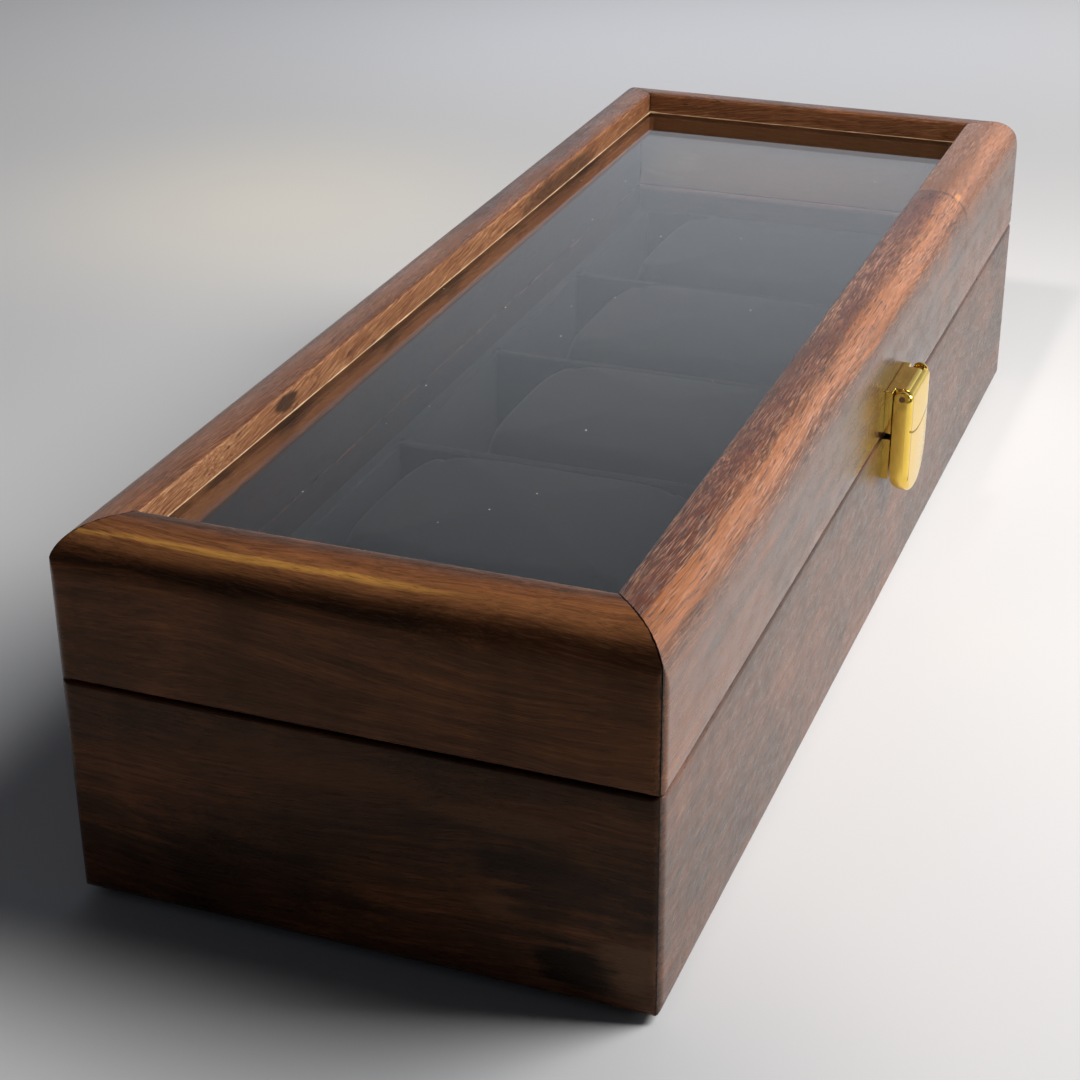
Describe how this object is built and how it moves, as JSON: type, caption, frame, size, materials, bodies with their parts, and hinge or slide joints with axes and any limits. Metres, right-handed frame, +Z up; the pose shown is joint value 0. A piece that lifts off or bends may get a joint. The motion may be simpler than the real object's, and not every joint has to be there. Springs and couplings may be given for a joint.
{
  "type": "watch box",
  "caption": "Long wooden watch box with a framed glass lid, gilt hook-over latch, black lining, dividers and lift-out cushions.",
  "frame": {"origin": "middle of the underside, on the table", "axes": "+X along the length to the right seen from the front, -Y out of the front with the latch, +Z up"},
  "size_m": [0.32, 0.1307, 0.079],
  "materials": {
    "base_wood": "dark walnut, satin lacquer",
    "lid_wood": "dark walnut, satin lacquer",
    "bead_wood": "dark wood strip, matt",
    "panel_wood": "thin plywood, unfinished",
    "felt": "black felt",
    "velvet": "black velvet on board",
    "cushion_cloth": "black velvet cushion",
    "glass": "clear float glass",
    "latch_brass": "polished, bright",
    "hinge_brass": "polished"
  },
  "bodies": {
    "base": {"base_front": "base_wood", "base_back": "base_wood", "base_end_left": "base_wood", "base_end_right": "base_wood", "bottom_panel": "panel_wood", "bottom_felt": "felt", "lining_floor": "velvet", "lining_front": "velvet", "lining_back": "velvet", "lining_left": "velvet", "lining_right": "velvet", "divider_1": "velvet", "divider_2": "velvet", "divider_3": "velvet", "divider_4": "velvet", "hinge_lower_leaf_left": "hinge_brass", "hinge_lower_leaf_right": "hinge_brass", "hinge_pin_left": "hinge_brass", "hinge_pin_right": "hinge_brass", "hinge_screws_base": "hinge_brass", "latch_lower_plate": "latch_brass", "latch_nails_base": "latch_brass"},
    "lid": {"lid_front": "lid_wood", "lid_back": "lid_wood", "lid_end_left": "lid_wood", "lid_end_right": "lid_wood", "glass_pane": "glass", "glass_bead_front": "bead_wood", "glass_bead_back": "bead_wood", "glass_bead_left": "bead_wood", "glass_bead_right": "bead_wood", "hinge_upper_leaf_left": "hinge_brass", "hinge_upper_leaf_right": "hinge_brass", "hinge_screws_lid": "hinge_brass", "latch_upper_plate": "latch_brass", "latch_pin": "latch_brass", "latch_nails_lid": "latch_brass"},
    "latch_leaf": {"latch_leaf": "latch_brass"},
    "cushion_1": {"cushion_1": "cushion_cloth"},
    "cushion_2": {"cushion_2": "cushion_cloth"},
    "cushion_3": {"cushion_3": "cushion_cloth"},
    "cushion_4": {"cushion_4": "cushion_cloth"},
    "cushion_5": {"cushion_5": "cushion_cloth"}
  },
  "joints": [
    {"name": "lid_hinge", "type": "hinge", "parent": "base", "child": "lid", "pos_m": [0, 0.0609, 0.048], "axis": [-1, 0, 0], "range_deg": [0, 95]},
    {"name": "latch_swing", "type": "hinge", "parent": "lid", "child": "latch_leaf", "pos_m": [0.0097, -0.0629, 0.0576], "axis": [-1, 0, 0], "range_deg": [0, 90]},
    {"name": "cushion_1_lift", "type": "slide", "parent": "base", "child": "cushion_1", "axis": [0, 0, 1], "range_m": [0, 0.02]},
    {"name": "cushion_2_lift", "type": "slide", "parent": "base", "child": "cushion_2", "axis": [0, 0, 1], "range_m": [0, 0.02]},
    {"name": "cushion_3_lift", "type": "slide", "parent": "base", "child": "cushion_3", "axis": [0, 0, 1], "range_m": [0, 0.02]},
    {"name": "cushion_4_lift", "type": "slide", "parent": "base", "child": "cushion_4", "axis": [0, 0, 1], "range_m": [0, 0.02]},
    {"name": "cushion_5_lift", "type": "slide", "parent": "base", "child": "cushion_5", "axis": [0, 0, 1], "range_m": [0, 0.02]}
  ]
}
